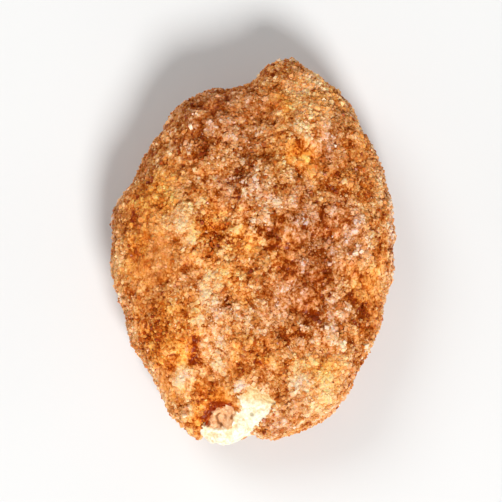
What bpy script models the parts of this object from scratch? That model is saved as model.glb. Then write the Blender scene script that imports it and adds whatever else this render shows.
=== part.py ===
"""Toffee pecan: one pecan half baked in a thick coat of crystallised sugar toffee.

The piece lies on its flat side, with its long axis along Y, its blunt end at -Y
and its thin end at +Y. Z is up and the origin is under the middle of the piece,
on the surface it lies on. Two solids: the toffee coat, which is chipped open at
the blunt end, and the pecan kernel, which runs through the coat and shows there.

Lengths in the tables below are millimetres; the meshes are in metres.
"""

import math

import bmesh
import bpy
from mathutils import Matrix, Vector, noise

MM = 0.001

# ---------------------------------------------------------------- the coat
COAT_LENGTH = 35.6          # tip to tip
COAT_WIDTH = 25.4           # across the middle
COAT_HEIGHT = 11.4          # from the surface it lies on to the top of the ridge
RIM_HEIGHT = 4.5            # height of the widest line round the side
RIM_RISE = 0.5              # how much higher that line is at the tips
BLUNT_END = 0.62            # smaller is blunter: -Y end
THIN_END = 0.78             # and the +Y end
TOP_FALL = 0.56             # how fast the top falls towards the tips
UNDER_FALL = 0.42           # the same for the underside
TOP_ROUND = 0.92            # section exponent over the top, 1 is an ellipse
UNDER_ROUND = 0.62          # section exponent under the rim, less is flatter
SIDE_ROUND = 0.93           # section exponent of the sides
REST_DEPTH = 0.35           # slice pressed flat where the piece lies

# each is how far sideways, where along the piece, and how long
BLUNT_SWAY = (1.65, -0.71, 0.23)
THIN_SWAY = (0.9, 0.86, 0.09)
SHOULDER = (0.55, 0.64, 0.10)      # the square shoulder on the left of the thin end
SHOULDER_NOTCH = (1.0, 0.84, 0.07)
LEFT_FLATS = ((0.75, -0.36, 0.16), (0.65, 0.23, 0.11))
RIGHT_FULLNESS = (0.6, 0.66, 0.10)

# ---------------------------------------------------------------- the grooves
RIDGE_SHIFT = 1.5           # the middle ridge lies this far to the right
GROOVE_SPREAD = 5.0         # from the ridge to each groove at mid-length
COAT_GROOVE_DEPTH = 0.75
COAT_GROOVE_WIDTH = 1.5
UNDER_GROOVE_DEPTH = 0.9
UNDER_GROOVE_WIDTH = 2.4

# ---------------------------------------------------------------- the lumps
# x, y, radius, height of each lump (or hollow, where the height is negative)
LUMPS = (
    (-6.6, 1.2, 2.7, 0.55),     # left lobe
    (0.4, 5.0, 2.7, 0.50),      # upper middle
    (3.0, 11.6, 2.4, 0.55),     # near the thin end
    (8.2, -10.6, 2.8, 0.60),    # lower right lobe
    (-4.8, -8.6, 2.4, 0.35),    # lower left
    (-6.2, 9.8, 2.3, 0.40),     # the shoulder
    (9.4, 4.6, 2.4, 0.40),      # right side
    (0.8, -2.0, 2.2, 0.35),     # on the ridge
    (5.6, -4.4, 1.9, -0.45),    # hollow in the right groove
    (-1.4, -12.2, 1.8, -0.30),  # hollow behind the chip
)
UNEVENNESS = 0.42           # of the sugar crust, all over
UNEVEN_SCALE = 4.6          # from one hump to the next

# ---------------------------------------------------------------- the kernel
KERNEL_LENGTH = 32.8
KERNEL_SHIFT = -0.65        # its middle lies this far towards the blunt end
KERNEL_WIDTH = 21.0
KERNEL_TOP = 9.5
KERNEL_UNDER = 1.7
KERNEL_RIM = 4.7
KERNEL_BLUNT = 0.62
KERNEL_THIN = 0.84
KERNEL_GROOVE_DEPTH = 1.15
KERNEL_GROOVE_WIDTH = 1.1
KERNEL_UNDER_GROOVE = 0.9
GAP = 0.32                  # between kernel and coat

# ---------------------------------------------------------------- the chip
CHIP_AT = (1.55, -15.95, 7.4)      # middle of the break
CHIP_SIZE = (3.5, 1.85, 2.3)       # half-sizes along it, across it and down
CHIP_TURN = 47.0                   # degrees from +X, along the break
CHIP_ROUGH = 0.22


def bell(value, middle, width):
    """A smooth hump, 1 at the middle and almost 0 two widths away."""
    return math.exp(-(((value - middle) / width) ** 2))


def power(value, exponent):
    return math.copysign(abs(value) ** exponent, value)


def taper(t, blunt, thin):
    """Half-width along the piece as a share of the half-width in the middle."""
    return max(0.0, 1.0 - t * t) ** (thin if t > 0 else blunt)


def sway(t):
    """Sideways shift of the middle line at t, from -1 (blunt) to 1 (thin)."""
    shift = BLUNT_SWAY[0] * bell(t, BLUNT_SWAY[1], BLUNT_SWAY[2])
    return shift + THIN_SWAY[0] * bell(t, THIN_SWAY[1], THIN_SWAY[2])


def groove_lines(t):
    """Where the two dorsal grooves run at t: they meet towards both tips."""
    close = max(0.0, 1.0 - (t / 0.86) ** 2) ** 0.62
    middle = RIDGE_SHIFT * (1.0 - t * t) + 0.6 * sway(t)
    return middle - GROOVE_SPREAD * close, middle + GROOVE_SPREAD * close, close


def crust(x, y, z):
    """Uneven thickness of the crust at a place, between about -1 and 1."""
    at = Vector((x, y, z)) / UNEVEN_SCALE
    return noise.noise(at) + 0.45 * noise.noise(at * 2.3 + Vector((7.1, 3.3, 5.9)))


def lump_height(x, y):
    total = 0.0
    for lump_x, lump_y, radius, height in LUMPS:
        total += height * math.exp(-((x - lump_x) ** 2 + (y - lump_y) ** 2) / radius ** 2)
    return total


def coat_point(direction):
    """The place on the coat that answers to a direction on a unit ball."""
    t = max(-1.0, min(1.0, direction.y))
    angle = math.atan2(direction.z, direction.x)
    half = COAT_WIDTH / 2 * taper(t, BLUNT_END, THIN_END)
    side, up = math.cos(angle), math.sin(angle)
    x = sway(t) + half * power(side, SIDE_ROUND)
    if side < 0:
        x -= SHOULDER[0] * bell(t, SHOULDER[1], SHOULDER[2]) * -side
        x += SHOULDER_NOTCH[0] * bell(t, SHOULDER_NOTCH[1], SHOULDER_NOTCH[2]) * -side
        for depth, where, length in LEFT_FLATS:
            x += depth * bell(t, where, length) * -side
    else:
        x += RIGHT_FULLNESS[0] * bell(t, RIGHT_FULLNESS[1], RIGHT_FULLNESS[2]) * side
    rim = RIM_HEIGHT + RIM_RISE * t * t
    if up >= 0:
        z = rim + (COAT_HEIGHT - RIM_HEIGHT - 0.35) * max(0.0, 1 - t * t) ** TOP_FALL * up ** TOP_ROUND
    else:
        z = rim - (rim + REST_DEPTH) * max(0.0, 1 - t * t) ** UNDER_FALL * (-up) ** UNDER_ROUND
    return Vector((x, COAT_LENGTH / 2 * t, z)), t, up


def coat_relief(place, outward, t, up):
    """Lumps, grooves and unevenness of the coat, along the way out of it."""
    fade = max(0.0, 1.0 - t * t) ** 0.35
    relief = UNEVENNESS * crust(place.x, place.y, place.z) * (0.35 + 0.65 * fade)
    if up > 0:
        left, right, close = groove_lines(t)
        cut = bell(place.x, left, COAT_GROOVE_WIDTH) + bell(place.x, right, COAT_GROOVE_WIDTH)
        relief -= COAT_GROOVE_DEPTH * min(1.0, cut) * close * min(1.0, up * 1.6)
        relief += lump_height(place.x, place.y) * min(1.0, up * 1.8)
    else:
        relief -= UNDER_GROOVE_DEPTH * bell(place.x, 0.8 * sway(t), UNDER_GROOVE_WIDTH) * fade * -up
    return place + outward * relief


def kernel_point(direction):
    """The place on the bare pecan half that answers to a direction."""
    t = max(-1.0, min(1.0, direction.y))
    angle = math.atan2(direction.z, direction.x)
    y = KERNEL_SHIFT + KERNEL_LENGTH / 2 * t
    coat_t = y / (COAT_LENGTH / 2)
    half = KERNEL_WIDTH / 2 * taper(t, KERNEL_BLUNT, KERNEL_THIN)
    side, up = math.cos(angle), math.sin(angle)
    x = sway(coat_t) + half * power(side, 0.95)
    rim = KERNEL_RIM + RIM_RISE * coat_t * coat_t
    left, right, close = groove_lines(coat_t)
    if up >= 0:
        z = rim + (KERNEL_TOP - KERNEL_RIM) * max(0.0, 1 - t * t) ** 0.52 * up ** 0.9
        cut = bell(x, left, KERNEL_GROOVE_WIDTH) + bell(x, right, KERNEL_GROOVE_WIDTH)
        z -= KERNEL_GROOVE_DEPTH * min(1.0, cut) * close * min(1.0, up * 1.6)
    else:
        z = rim - (KERNEL_RIM - KERNEL_UNDER) * max(0.0, 1 - t * t) ** 0.45 * (-up) ** 0.7
        z += KERNEL_UNDER_GROOVE * bell(x, 0.8 * sway(coat_t), 1.8) * max(0.0, 1 - t * t) ** 0.5 * -up
    return Vector((x, y, z))


def lie_along_y(shape):
    """Turns a ball so that its poles point along Y."""
    bmesh.ops.rotate(shape, verts=shape.verts, cent=(0, 0, 0), matrix=Matrix.Rotation(math.radians(90), 3, "X"))


def coat_mesh():
    shape = bmesh.new()
    bmesh.ops.create_icosphere(shape, subdivisions=5, radius=1.0)
    lie_along_y(shape)
    ways = {}
    for vert in shape.verts:
        vert.co, t, up = coat_point(vert.co.normalized())
        ways[vert.index] = (t, up)
    shape.normal_update()
    outward = {vert.index: vert.normal.copy() for vert in shape.verts}
    for vert in shape.verts:
        vert.co = coat_relief(vert.co, outward[vert.index], *ways[vert.index])
    for vert in shape.verts:
        vert.co.z = max(0.0, vert.co.z)
    return shape


def kernel_mesh(grown):
    """The kernel, or with a gap all round it the space that it leaves in the coat."""
    shape = bmesh.new()
    bmesh.ops.create_uvsphere(shape, u_segments=40, v_segments=26, radius=1.0)
    lie_along_y(shape)
    for vert in shape.verts:
        vert.co = kernel_point(vert.co.normalized())
    bmesh.ops.triangulate(shape, faces=shape.faces)
    shape.normal_update()
    outward = {vert.index: vert.normal.copy() for vert in shape.verts}
    for vert in shape.verts:
        vert.co += outward[vert.index] * grown
    return shape


def chip_mesh():
    """The break in the coat: a rough-walled scoop along the edge of the blunt tip."""
    shape = bmesh.new()
    bmesh.ops.create_icosphere(shape, subdivisions=3, radius=1.0)
    turn = Matrix.Rotation(math.radians(CHIP_TURN), 3, "Z")
    for vert in shape.verts:
        rough = 1.0 + CHIP_ROUGH * noise.noise(vert.co * 2.1 + Vector((3.7, 1.9, 8.3)))
        vert.co = turn @ Vector((vert.co[k] * CHIP_SIZE[k] * rough for k in range(3))) + Vector(CHIP_AT)
    return shape


def put(shape, name, collection, shift=Vector((0, 0, 0))):
    """Makes an object, in metres, of a shape that is in millimetres."""
    for vert in shape.verts:
        vert.co = (vert.co + shift) * MM
    bmesh.ops.recalc_face_normals(shape, faces=shape.faces)
    mesh = bpy.data.meshes.new(name)
    shape.to_mesh(mesh)
    shape.free()
    mesh.shade_smooth()
    made = bpy.data.objects.new(name, mesh)
    collection.objects.link(made)
    return made


def material(name, colour, roughness, coat=0.0, subsurface=0.0):
    made = bpy.data.materials.new(name)
    made.use_nodes = True
    shader = made.node_tree.nodes["Principled BSDF"]
    shader.inputs["Base Color"].default_value = (*colour, 1.0)
    shader.inputs["Roughness"].default_value = roughness
    shader.inputs["Metallic"].default_value = 0.0
    shader.inputs["Coat Weight"].default_value = coat
    shader.inputs["Subsurface Weight"].default_value = subsurface
    return made


def cut(body, cutter, name):
    cutter.hide_render = True
    cutter.display_type = "WIRE"
    step = body.modifiers.new(name, "BOOLEAN")
    step.operation = "DIFFERENCE"
    step.solver = "EXACT"
    step.object = cutter


def main():
    for old in list(bpy.data.objects):
        bpy.data.objects.remove(old)
    parts = bpy.data.collections.new("toffee_pecan")
    cutters = bpy.data.collections.new("toffee_pecan_cutters")
    bpy.context.scene.collection.children.link(parts)
    bpy.context.scene.collection.children.link(cutters)

    outside = coat_mesh()
    places = [vert.co for vert in outside.verts]
    middle = Vector((
        -(min(p.x for p in places) + max(p.x for p in places)) / 2,
        -(min(p.y for p in places) + max(p.y for p in places)) / 2,
        0.0,
    ))

    coat = put(outside, "toffee_coat", parts, middle)
    coat.data.materials.append(material("toffee_coat", (0.56, 0.235, 0.085), 0.55, coat=0.15, subsurface=0.2))
    kernel = put(kernel_mesh(0.0), "pecan_kernel", parts, middle)
    kernel.data.materials.append(material("pecan_kernel", (0.88, 0.78, 0.52), 0.6, subsurface=0.15))
    space = put(kernel_mesh(GAP), "kernel_space", cutters, middle)
    chip = put(chip_mesh(), "chip_scoop", cutters, middle)
    cut(coat, space, "room_for_kernel")
    cut(coat, chip, "chip_at_blunt_end")


main()
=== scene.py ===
"""Looks of the toffee pecan: a pecan half in a thick coat of crystallised toffee.

The coat is one closed skin with its clumps, grains, pits and the chip at the blunt
end as real relief. Toffee crumbs, sugar crystals, sugar sand and the kernel are pieces
of their own. Lengths are millimetres until the last step of each piece.
"""

import math

import bmesh
import bpy
import numpy as np
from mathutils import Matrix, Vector, noise
from mathutils.bvhtree import BVHTree


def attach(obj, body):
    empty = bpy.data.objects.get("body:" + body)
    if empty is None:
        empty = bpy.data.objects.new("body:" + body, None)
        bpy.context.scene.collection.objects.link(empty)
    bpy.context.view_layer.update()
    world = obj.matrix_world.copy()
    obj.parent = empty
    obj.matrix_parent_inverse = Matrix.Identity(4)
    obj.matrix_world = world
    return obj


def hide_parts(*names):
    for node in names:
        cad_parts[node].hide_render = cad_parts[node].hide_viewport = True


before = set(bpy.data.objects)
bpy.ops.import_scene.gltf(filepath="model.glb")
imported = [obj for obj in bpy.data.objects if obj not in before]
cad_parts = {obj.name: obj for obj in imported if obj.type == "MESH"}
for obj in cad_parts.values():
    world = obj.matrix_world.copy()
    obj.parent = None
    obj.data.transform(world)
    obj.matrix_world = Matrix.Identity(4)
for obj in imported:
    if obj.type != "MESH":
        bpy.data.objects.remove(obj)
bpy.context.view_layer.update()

MM = 0.001

# ------------------------------------------------------------------ sizes of the piece
COAT_LENGTH, COAT_WIDTH, COAT_HEIGHT = 35.6, 25.4, 11.4
RIM_HEIGHT, RIM_RISE = 4.5, 0.5
BLUNT_END, THIN_END = 0.62, 0.78
TOP_FALL, UNDER_FALL = 0.56, 0.42
TOP_ROUND, UNDER_ROUND, SIDE_ROUND = 0.92, 0.62, 0.93
REST_DEPTH = 0.35
BLUNT_SWAY = (1.65, -0.71, 0.23)
THIN_SWAY = (0.9, 0.86, 0.09)
SHOULDER = (0.55, 0.64, 0.10)
SHOULDER_NOTCH = (1.0, 0.84, 0.07)
LEFT_FLATS = ((0.75, -0.36, 0.16), (0.65, 0.23, 0.11))
RIGHT_FULLNESS = (0.6, 0.66, 0.10)
RIDGE_SHIFT, GROOVE_SPREAD = 1.5, 5.0
COAT_GROOVE_DEPTH, COAT_GROOVE_WIDTH = 0.75, 1.5
UNDER_GROOVE_DEPTH, UNDER_GROOVE_WIDTH = 0.9, 2.4
LUMPS = (
    (-6.6, 1.2, 2.7, 0.55),
    (0.4, 5.0, 2.7, 0.50),
    (3.0, 11.6, 2.4, 0.55),
    (8.2, -10.6, 2.8, 0.60),
    (-4.8, -8.6, 2.4, 0.35),
    (-6.2, 9.8, 2.3, 0.40),
    (9.4, 4.6, 2.4, 0.40),
    (0.8, -2.0, 2.2, 0.35),
    (5.6, -4.4, 1.9, -0.45),
    (-1.4, -12.2, 1.8, -0.30),
)
UNEVENNESS, UNEVEN_SCALE = 0.42, 4.6
KERNEL_LENGTH, KERNEL_SHIFT, KERNEL_WIDTH = 32.8, -0.65, 21.0
KERNEL_TOP, KERNEL_UNDER, KERNEL_RIM = 9.5, 1.7, 4.7
KERNEL_BLUNT, KERNEL_THIN = 0.62, 0.84
KERNEL_GROOVE_DEPTH, KERNEL_GROOVE_WIDTH, KERNEL_UNDER_GROOVE = 1.15, 1.1, 0.9

# the broken place at the blunt tip: the outline of the bare kernel, a socket beside it,
# and how much of the crust's edge is gone next to it (x, y, radius, depth)
CRESCENT = (
    (-1.00, -16.85),
    (-0.60, -18.70),
    (2.75, -18.60),
    (2.80, -17.45),
    (2.95, -16.65),
    (3.60, -15.60),
    (4.30, -14.40),
    (4.85, -13.25),
    (4.40, -12.75),
    (3.60, -12.45),
    (2.55, -12.45),
    (1.80, -13.40),
    (2.10, -14.80),
    (1.98, -16.00),
    (1.60, -16.70),
    (0.30, -16.90),
)
SOCKET = (0.66, -15.72, 1.36, 1.10)
GONE = (3.45, -17.05, 1.15, 1.25)
# broad lighter and darker places of the crust, partly its own tone and partly painted light and shade on its lobes and
# grooves: x, y, radius, amount
TONES = (
    (2.7, 12.3, 1.8, 1.0),
    (0.2, 5.0, 1.8, 0.7),
    (-6.4, 0.8, 2.0, 0.8),
    (-3.2, -4.0, 2.0, 0.6),
    (-2.2, -8.2, 2.0, 0.8),
    (8.6, -11.3, 2.8, 0.9),
    (-0.2, -11.7, 1.4, 0.8),
    (9.0, 3.4, 1.6, 0.4),
    (-4.2, -13.2, 1.4, 0.4),
    (-7.2, 10.2, 2.8, -0.8),
    (-3.4, 13.6, 1.8, -0.4),
    (-2.2, 7.2, 1.5, -0.1),
    (6.4, 6.3, 1.5, -1.0),
    (2.4, 1.0, 1.5, -0.6),
    (6.3, -1.0, 1.7, -0.8),
    (6.3, -4.5, 1.5, -1.3),
    (3.4, -8.0, 1.8, -0.5),
    (-10.8, -1.0, 1.4, -0.6),
    (2.3, 14.9, 1.6, 2.6),
    (-6.2, -9.1, 1.5, -1.4),
    (3.1, -4.8, 1.7, 1.9),
    (8.1, -7.3, 1.5, 1.7),
    (0.9, 5.9, 1.4, -1.5),
    (2.4, -1.6, 1.4, -1.7),
    (-1.3, 2.0, 1.2, 1.3),
    (8.2, -4.1, 1.1, 1.8),
    (-7.4, 2.7, 1.3, 1.2),
    (-5.1, 4.9, 1.3, 1.1),
    (-6.4, 6.9, 1.3, -2.3),
    (-9.6, 6.4, 1.4, 0.4),
    (7.6, 1.8, 1.3, 1.7),
    (-1.9, 4.4, 1.2, -1.3),
    (-0.5, -1.2, 1.0, 2.5),
    (-5.2, 8.6, 1.4, 2.2),
    (-8.2, 10.0, 1.2, 0.8),
    (-4.7, -9.6, 1.2, -0.8),
    (-5.4, -5.3, 1.3, -1.2),
    (-4.1, -6.9, 1.2, 1.2),
    (10.3, -3.9, 1.3, -2.6),
    (5.5, -6.6, 1.1, -1.2),
    (0.4, 1.1, 1.1, -1.5),
    (-4.4, 0.3, 1.0, 0.45),
    (-7.8, -4.7, 1.1, 0.45),
    (7.8, -2.9, 1.0, -0.4),
    (-4.6, 10.1, 1.1, -0.4),
    (0.4, 4.0, 1.1, 1.5),
    (7.8, -0.5, 1.2, 2.2),
    (-7.3, -0.8, 1.2, 0.6),
    (8.4, 5.2, 1.3, 1.3),
    (-4.2, -2.4, 1.1, -0.7),
    (5.6, 4.0, 1.9, -0.7),
    (5.6, 1.4, 1.1, -0.5),
    (-2.8, -1.2, 1.2, -1.1),
    (-0.6, 12.1, 1.3, 0.7),
    (6.7, -2.2, 1.2, -1.3),
    (4.8, -10.2, 1.5, -0.3),
    (-2.2, 9.9, 1.1, -0.6),
    (4.0, -1.3, 1.2, 1.5),
    (-8.5, 4.5, 1.3, 0.9),
    (-7.6, -3.0, 1.2, -0.6),
    (4.3, 10.6, 1.3, -0.6),
    (3.5, 6.4, 1.1, 0.6),
    (-3.9, 6.6, 1.1, -1.6),
    (-0.1, -6.8, 1.1, -0.9),
    (5.9, 8.7, 1.2, 0.6),
    (1.5, 8.8, 1.1, -0.6),
    (-4.4, 2.6, 1.1, -0.5),
    (-1.9, -3.1, 1.0, -0.4),
    (7.0, -10.0, 1.2, -0.5),
    (4.5, -5.1, 1.0, 0.5),
    (-6.6, 3.9, 1.1, 0.6),
    (-1.6, 2.2, 1.0, 0.5),
    (-6.7, -7.0, 1.2, -0.4),
    (9.0, -6.0, 1.1, -0.4),
    (2.7, -9.6, 1.0, 0.4),
)
# where the crust is busier (positive) or more even: x, y, radii, amount
BUSY = (
    (-7.6, -2.2, 2.4, 4.2, -0.42),
    (-4.8, 12.2, 3.2, 2.8, -0.34),
    (5.4, 11.4, 2.8, 3.0, -0.18),
    (-1.4, 3.0, 2.6, 4.6, 0.38),
    (-1.8, -8.6, 2.4, 4.0, 0.28),
    (7.6, -4.2, 2.2, 2.2, 0.30),
    (8.2, 3.2, 2.0, 2.6, 0.20),
)
# small dark hollows in the crust: x, y, radius, depth
HOLLOWS = (
    (-1.1, -5.2, 0.42, 0.75),
    (6.5, 2.1, 0.50, 0.60),
    (1.8, 1.1, 0.60, 0.45),
    (-3.3, 0.4, 0.75, 0.45),
    (6.0, -5.2, 0.55, 0.50),
    (4.4, -7.3, 0.50, 0.40),
    (-0.3, 8.6, 0.65, 0.35),
    (-4.7, 12.6, 0.45, 0.45),
    (2.2, -9.2, 0.45, 0.35),
    (7.6, -3.0, 0.45, 0.35),
)


# ------------------------------------------------------------------ noise
def scramble(ix, iy, iz, seed):
    h = (ix.astype(np.uint32) * np.uint32(73856093)) ^ (iy.astype(np.uint32) * np.uint32(19349663))
    h ^= (iz.astype(np.uint32) * np.uint32(83492791)) ^ np.uint32((seed * 2654435761) & 0xFFFFFFFF)
    h ^= h >> np.uint32(15)
    h *= np.uint32(0x2C1B3C6D)
    h ^= h >> np.uint32(12)
    h *= np.uint32(0x297A2D39)
    h ^= h >> np.uint32(15)
    return h


def unit(h):
    return h.astype(np.float64) / 4294967295.0


def smooth_noise(p, size, seed):
    """Value noise with a smooth fade, about -1 to 1."""
    q = p / size
    low = np.floor(q)
    f = q - low
    f = f * f * f * (f * (f * 6 - 15) + 10)
    low = low.astype(np.int64)
    total = np.zeros(len(p))
    for dx in (0, 1):
        wx = f[:, 0] if dx else 1 - f[:, 0]
        for dy in (0, 1):
            wy = f[:, 1] if dy else 1 - f[:, 1]
            for dz in (0, 1):
                wz = f[:, 2] if dz else 1 - f[:, 2]
                total += wx * wy * wz * unit(scramble(low[:, 0] + dx, low[:, 1] + dy, low[:, 2] + dz, seed))
    return 2 * total - 1


def layered(p, size, seed, octaves=3, gain=0.5):
    total, weight, most = np.zeros(len(p)), 1.0, 0.0
    for k in range(octaves):
        total += weight * smooth_noise(p + 17.3 * k, size / 2 ** k, seed + 31 * k)
        most += weight
        weight *= gain
    return total / most


def cells(p, size, seed):
    """Distance to the nearest and the next cell middle, in cells, and a number from 0 to 1 for the nearest."""
    q = p / size
    base = np.floor(q).astype(np.int64)
    near, far, who = np.full(len(p), 9.0), np.full(len(p), 9.0), np.zeros(len(p))
    for dx in (-1, 0, 1):
        for dy in (-1, 0, 1):
            for dz in (-1, 0, 1):
                c = base + (dx, dy, dz)
                h = scramble(c[:, 0], c[:, 1], c[:, 2], seed)
                h2 = scramble(c[:, 0], c[:, 1], c[:, 2], seed + 101)
                h3 = scramble(c[:, 0], c[:, 1], c[:, 2], seed + 211)
                middle = c + np.stack([unit(h), unit(h2), unit(h3)], 1)
                d = np.linalg.norm(q - middle, axis=1)
                closer = d < near
                far = np.where(closer, near, np.minimum(far, d))
                who = np.where(closer, unit(scramble(c[:, 0], c[:, 1], c[:, 2], seed + 307)), who)
                near = np.where(closer, d, near)
    return near, far, who


def warped(p, amount, size, seed):
    return p + amount * np.stack([smooth_noise(p + 5.1 * k, size, seed + 7 * k) for k in range(3)], 1)


def step(low, high, x):
    t = np.clip((x - low) / (high - low), 0, 1)
    return t * t * (3 - 2 * t)


def bell(x, middle, width):
    return np.exp(-(((x - middle) / width) ** 2))


def power(x, exponent):
    return np.sign(x) * np.abs(x) ** exponent


# ------------------------------------------------------------------ the shapes, as in the solids
def taper(t, blunt, thin):
    return np.maximum(0.0, 1 - t * t) ** np.where(t > 0, thin, blunt)


def sway(t):
    return BLUNT_SWAY[0] * bell(t, *BLUNT_SWAY[1:]) + THIN_SWAY[0] * bell(t, *THIN_SWAY[1:])


def groove_lines(t):
    close = np.maximum(0.0, 1.0 - (t / 0.86) ** 2) ** 0.62
    middle = RIDGE_SHIFT * (1.0 - t * t) + 0.6 * sway(t)
    return middle - GROOVE_SPREAD * close, middle + GROOVE_SPREAD * close, close


def crust(p):
    found = np.empty(len(p))
    shift = Vector((7.1, 3.3, 5.9))
    for i, (x, y, z) in enumerate(p / UNEVEN_SCALE):
        at = Vector((x, y, z))
        found[i] = noise.noise(at) + 0.45 * noise.noise(at * 2.3 + shift)
    return found


def coat_base(d):
    t = np.clip(d[:, 1], -1, 1)
    angle = np.arctan2(d[:, 2], d[:, 0])
    side, up = np.cos(angle), np.sin(angle)
    half = COAT_WIDTH / 2 * taper(t, BLUNT_END, THIN_END)
    x = sway(t) + half * power(side, SIDE_ROUND)
    left = np.maximum(0, -side)
    x -= SHOULDER[0] * bell(t, *SHOULDER[1:]) * left
    x += SHOULDER_NOTCH[0] * bell(t, *SHOULDER_NOTCH[1:]) * left
    for depth, where, length in LEFT_FLATS:
        x += depth * bell(t, where, length) * left
    x += RIGHT_FULLNESS[0] * bell(t, *RIGHT_FULLNESS[1:]) * np.maximum(0, side)
    rim = RIM_HEIGHT + RIM_RISE * t * t
    fall = np.maximum(0.0, 1 - t * t)
    top = rim + (COAT_HEIGHT - RIM_HEIGHT - 0.35) * fall ** TOP_FALL * np.maximum(0, up) ** TOP_ROUND
    under = rim - (rim + REST_DEPTH) * fall ** UNDER_FALL * np.maximum(0, -up) ** UNDER_ROUND
    return np.stack([x, COAT_LENGTH / 2 * t, np.where(up >= 0, top, under)], 1), t, up


def coat_relief(p, t, up):
    fade = np.maximum(0.0, 1.0 - t * t) ** 0.35
    relief = UNEVENNESS * crust(p) * (0.35 + 0.65 * fade)
    left, right, close = groove_lines(t)
    cut = bell(p[:, 0], left, COAT_GROOVE_WIDTH) + bell(p[:, 0], right, COAT_GROOVE_WIDTH)
    over = -COAT_GROOVE_DEPTH * np.minimum(1, cut) * close * np.clip(up * 1.6, 0, 1)
    lumps = np.zeros(len(p))
    for x, y, radius, height in LUMPS:
        lumps += height * np.exp(-((p[:, 0] - x) ** 2 + (p[:, 1] - y) ** 2) / radius ** 2)
    over += lumps * np.clip(up * 1.8, 0, 1)
    below = -UNDER_GROOVE_DEPTH * bell(p[:, 0], 0.8 * sway(t), UNDER_GROOVE_WIDTH) * fade * -up
    return relief + np.where(up > 0, over, below)


def kernel_base(d):
    t = np.clip(d[:, 1], -1, 1)
    angle = np.arctan2(d[:, 2], d[:, 0])
    side, up = np.cos(angle), np.sin(angle)
    y = KERNEL_SHIFT + KERNEL_LENGTH / 2 * t
    ct = y / (COAT_LENGTH / 2)
    x = sway(ct) + KERNEL_WIDTH / 2 * taper(t, KERNEL_BLUNT, KERNEL_THIN) * power(side, 0.95)
    rim = KERNEL_RIM + RIM_RISE * ct * ct
    left, right, close = groove_lines(ct)
    fall = np.maximum(0.0, 1 - t * t)
    top = rim + (KERNEL_TOP - KERNEL_RIM) * fall ** 0.52 * np.maximum(0, up) ** 0.9
    cut = bell(x, left, KERNEL_GROOVE_WIDTH) + bell(x, right, KERNEL_GROOVE_WIDTH)
    top -= KERNEL_GROOVE_DEPTH * np.minimum(1, cut) * close * np.clip(up * 1.6, 0, 1) * step(-0.88, -0.60, ct)
    under = rim - (KERNEL_RIM - KERNEL_UNDER) * fall ** 0.45 * np.maximum(0, -up) ** 0.7
    under += KERNEL_UNDER_GROOVE * bell(x, 0.8 * sway(ct), 1.8) * fall ** 0.5 * -np.minimum(0, up)
    return np.stack([x, y, np.where(up >= 0, top, under)], 1), t, up


# ------------------------------------------------------------------ meshes
def geodesic(n):
    """A ball of 20 n n triangles: directions and faces."""
    g = (1 + 5 ** 0.5) / 2
    corners = np.array([(-1, g, 0), (1, g, 0), (-1, -g, 0), (1, -g, 0), (0, -1, g), (0, 1, g), (0, -1, -g), (0, 1, -g), (g, 0, -1), (g, 0, 1), (-g, 0, -1), (-g, 0, 1)], float)
    corners /= np.linalg.norm(corners[0])
    sides = [(0, 11, 5), (0, 5, 1), (0, 1, 7), (0, 7, 10), (0, 10, 11), (1, 5, 9), (5, 11, 4), (11, 10, 2), (10, 7, 6), (7, 1, 8), (3, 9, 4), (3, 4, 2), (3, 2, 6), (3, 6, 8), (3, 8, 9), (4, 9, 5), (2, 4, 11), (6, 2, 10), (8, 6, 7), (9, 8, 1)]
    rows = [(i, j) for i in range(n + 1) for j in range(n + 1 - i)]
    number = {ij: k for k, ij in enumerate(rows)}
    grid = np.array(rows, float)
    weights = np.stack([n - grid.sum(1), grid[:, 0], grid[:, 1]], 1) / n
    # even out the triangles, which plain projection makes larger in the middle of a side
    weights = np.sin(weights * 1.107 / 1.0) / np.sin(1.107)
    tris = []
    for i in range(n):
        for j in range(n - i):
            tris.append((number[i, j], number[i + 1, j], number[i, j + 1]))
            if j < n - i - 1:
                tris.append((number[i + 1, j], number[i + 1, j + 1], number[i, j + 1]))
    tris = np.array(tris)
    points = np.concatenate([weights @ corners[list(s)] for s in sides])
    faces = np.concatenate([tris + k * len(rows) for k in range(20)])
    points /= np.linalg.norm(points, axis=1)[:, None]
    _, first, back = np.unique(np.round(points, 6), axis=0, return_index=True, return_inverse=True)
    return points[first], back.reshape(-1)[faces]


def normals_of(p, faces):
    a, b, c = p[faces[:, 0]], p[faces[:, 1]], p[faces[:, 2]]
    n = np.cross(b - a, c - a)
    out = np.zeros_like(p)
    for k in range(3):
        for axis in range(3):
            out[:, axis] += np.bincount(faces[:, k], n[:, axis], len(p))
    return out / np.maximum(np.linalg.norm(out, axis=1), 1e-12)[:, None]


def aimed(d, toward_top, flatten):
    """Moves a ball's directions so that the piece's top side gets more of the mesh."""
    d = d * (1.0, 1.0, flatten) + (0, 0, toward_top)
    return d / np.linalg.norm(d, axis=1)[:, None]


def refined(d, faces, wanted, times=1):
    """Splits the faces for which wanted(middles) holds into four, with no cracks at the border."""
    for _ in range(times):
        mesh = bpy.data.meshes.new("refine")
        mesh.from_pydata(d.tolist(), [], faces.tolist())
        shape = bmesh.new()
        shape.from_mesh(mesh)
        bpy.data.meshes.remove(mesh)
        middles = d[faces].mean(1)
        pick = wanted(middles / np.linalg.norm(middles, axis=1)[:, None])
        shape.faces.ensure_lookup_table()
        edges = {e for i in np.flatnonzero(pick) for e in shape.faces[i].edges}
        bmesh.ops.subdivide_edges(shape, edges=sorted(edges, key=lambda e: e.index), cuts=1, use_grid_fill=True)
        bmesh.ops.triangulate(shape, faces=shape.faces)
        shape.verts.ensure_lookup_table()
        d = np.array([v.co for v in shape.verts], float)
        shape.verts.index_update()
        faces = np.array([[v.index for v in f.verts] for f in shape.faces])
        shape.free()
        d /= np.linalg.norm(d, axis=1)[:, None]
    return d, faces


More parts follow.
